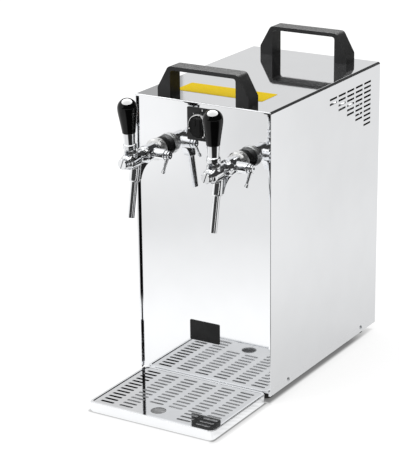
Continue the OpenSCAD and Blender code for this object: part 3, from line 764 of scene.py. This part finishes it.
def floor_shade():
    """Unlit stretch of floor towards the camera, outside the picture, seen only in reflections."""
    m = shade_material("floor_shade")
    na, nr = 180, 140
    verts, faces, shade = [], [], []

    def tone(x, y, az, r):
        near = 0.20 + 0.46 * (1 - step(az, -20.0, 5.0))
        camera_side = step(az, -8.0, 12.0) * (1 - step(az, 86.0, 106.0)) * step(r, near, near + 0.16)
        camera_side *= 1 - 0.94 * step(y, -0.38, -0.33) * (1 - step(abs(x), 0.14, 0.20))
        front = 0.0
        if -80.0 < az < 12.0:
            front = 0.03 + 0.07 * step(r, 0.32, 0.55) + 0.175 * step(r, 0.40, 0.90) - 0.15 * step(r, 0.90, 1.50) * (1 - step(az, -33.5, -27.0))
            front += 0.06 * step(r, 0.95, 1.45) * step(az, -30.0, -25.0)
            front *= step(az, -80.0, -50.0)
        right_side = 0.0
        d = x - 0.109
        if d > 0 and y > -0.4:
            right_side = 0.208 + 0.085 * (1 - step(d, 0.0, 0.30)) + 0.075 * step(y - 1.634 * d, -0.1, 0.23) * step(d, 0.05, 0.40)
            right_side *= step(y, -0.4, -0.1)
        left_side = 0.0
        e = -0.109 - x
        if e > 0 and y > -0.12:
            left_side = (0.20 + 0.09 * (1 - step(e, 0.0, 0.30))) * step(y, -0.12, 0.02)
        return max(camera_side, front, right_side, left_side)

    for j in range(nr + 1):
        r = 0.09 + 5.0 * (j / nr) ** 2
        for i in range(na + 1):
            az = -180.0 + 360.0 * i / na
            p = direction(az, 0) * r
            verts.append((p.x, p.y, 0.0008))
            shade.append(tone(p.x, p.y, az, r))
    for j in range(nr):
        for i in range(na):
            a = j * (na + 1) + i
            faces.append((a, a + 1, a + na + 2, a + na + 1))
    o = mirror_only(stage_mesh("floor_shade", verts, faces, m))
    at = o.data.attributes.new("shade", "FLOAT", "POINT")
    at.data.foreach_set("value", shade)
    return o


floor_shade()


def light(name, pos, target, size, power):
    d = bpy.data.lights.new(name, "AREA")
    d.shape = "RECTANGLE"
    d.size, d.size_y = size
    d.energy = power
    o = bpy.data.objects.new(name, d)
    scene.collection.objects.link(o)
    o.location = pos
    o.rotation_mode = "QUATERNION"
    o.rotation_quaternion = (Vector(pos) - Vector(target)).to_track_quat("Z", "Y")
    o.visible_camera = False
    o.visible_glossy = False
    return o


light("key", (-0.9, -0.9, 2.2), (0, 0, 0.25), (1.6, 1.3), 14.0)

fill = light("handle_fill", (-0.55, -3.0, 1.1), (0, 0, 0.44), (1.5, 1.2), 300.0)
lit = bpy.data.collections.new("handle_fill_lit")
for name in ("front_handle", "rear_handle"):
    lit.objects.link(NODES[name])
fill.light_linking.receiver_collection = lit

slots = light("slot_light", (0.0, -0.18, 2.0), (0.0, -0.18, 0.0), (1.5, 1.5), 15.0)
well = bpy.data.collections.new("slot_light_lit")
well.objects.link(NODES["drip_tray"])
slots.light_linking.receiver_collection = well
slots.light_linking.blocker_collection = well

softbox = light("softbox", (-0.9, 0.2, 5.0), (-0.9, 0.2, 0.0), (10.0, 10.0), 8200.0)
softbox.data.shape = "ELLIPSE"
softbox.visible_glossy = True
softbox.visible_diffuse = False
dark = bpy.data.collections.new("softbox_lit")
for name, o in NODES.items():
    if SLOT[name] in ("black_plastic", "gloss_black", "black_plate", "rubber"):
        dark.objects.link(o)
for o in GRIPS:
    dark.objects.link(o)
softbox.light_linking.receiver_collection = dark

world = bpy.data.worlds.new("studio")
scene.world = world
world.use_nodes = True
world.node_tree.nodes["Background"].inputs["Color"].default_value = (1, 1, 1, 1)
world.node_tree.nodes["Background"].inputs["Strength"].default_value = 1.0

scene.view_settings.view_transform = "Standard"
scene.view_settings.look = "None"
scene.cycles.max_bounces = 16
scene.cycles.glossy_bounces = 14
scene.cycles.diffuse_bounces = 3
scene.cycles.transparent_max_bounces = 16
scene.cycles.caustics_reflective = False
scene.cycles.caustics_refractive = False
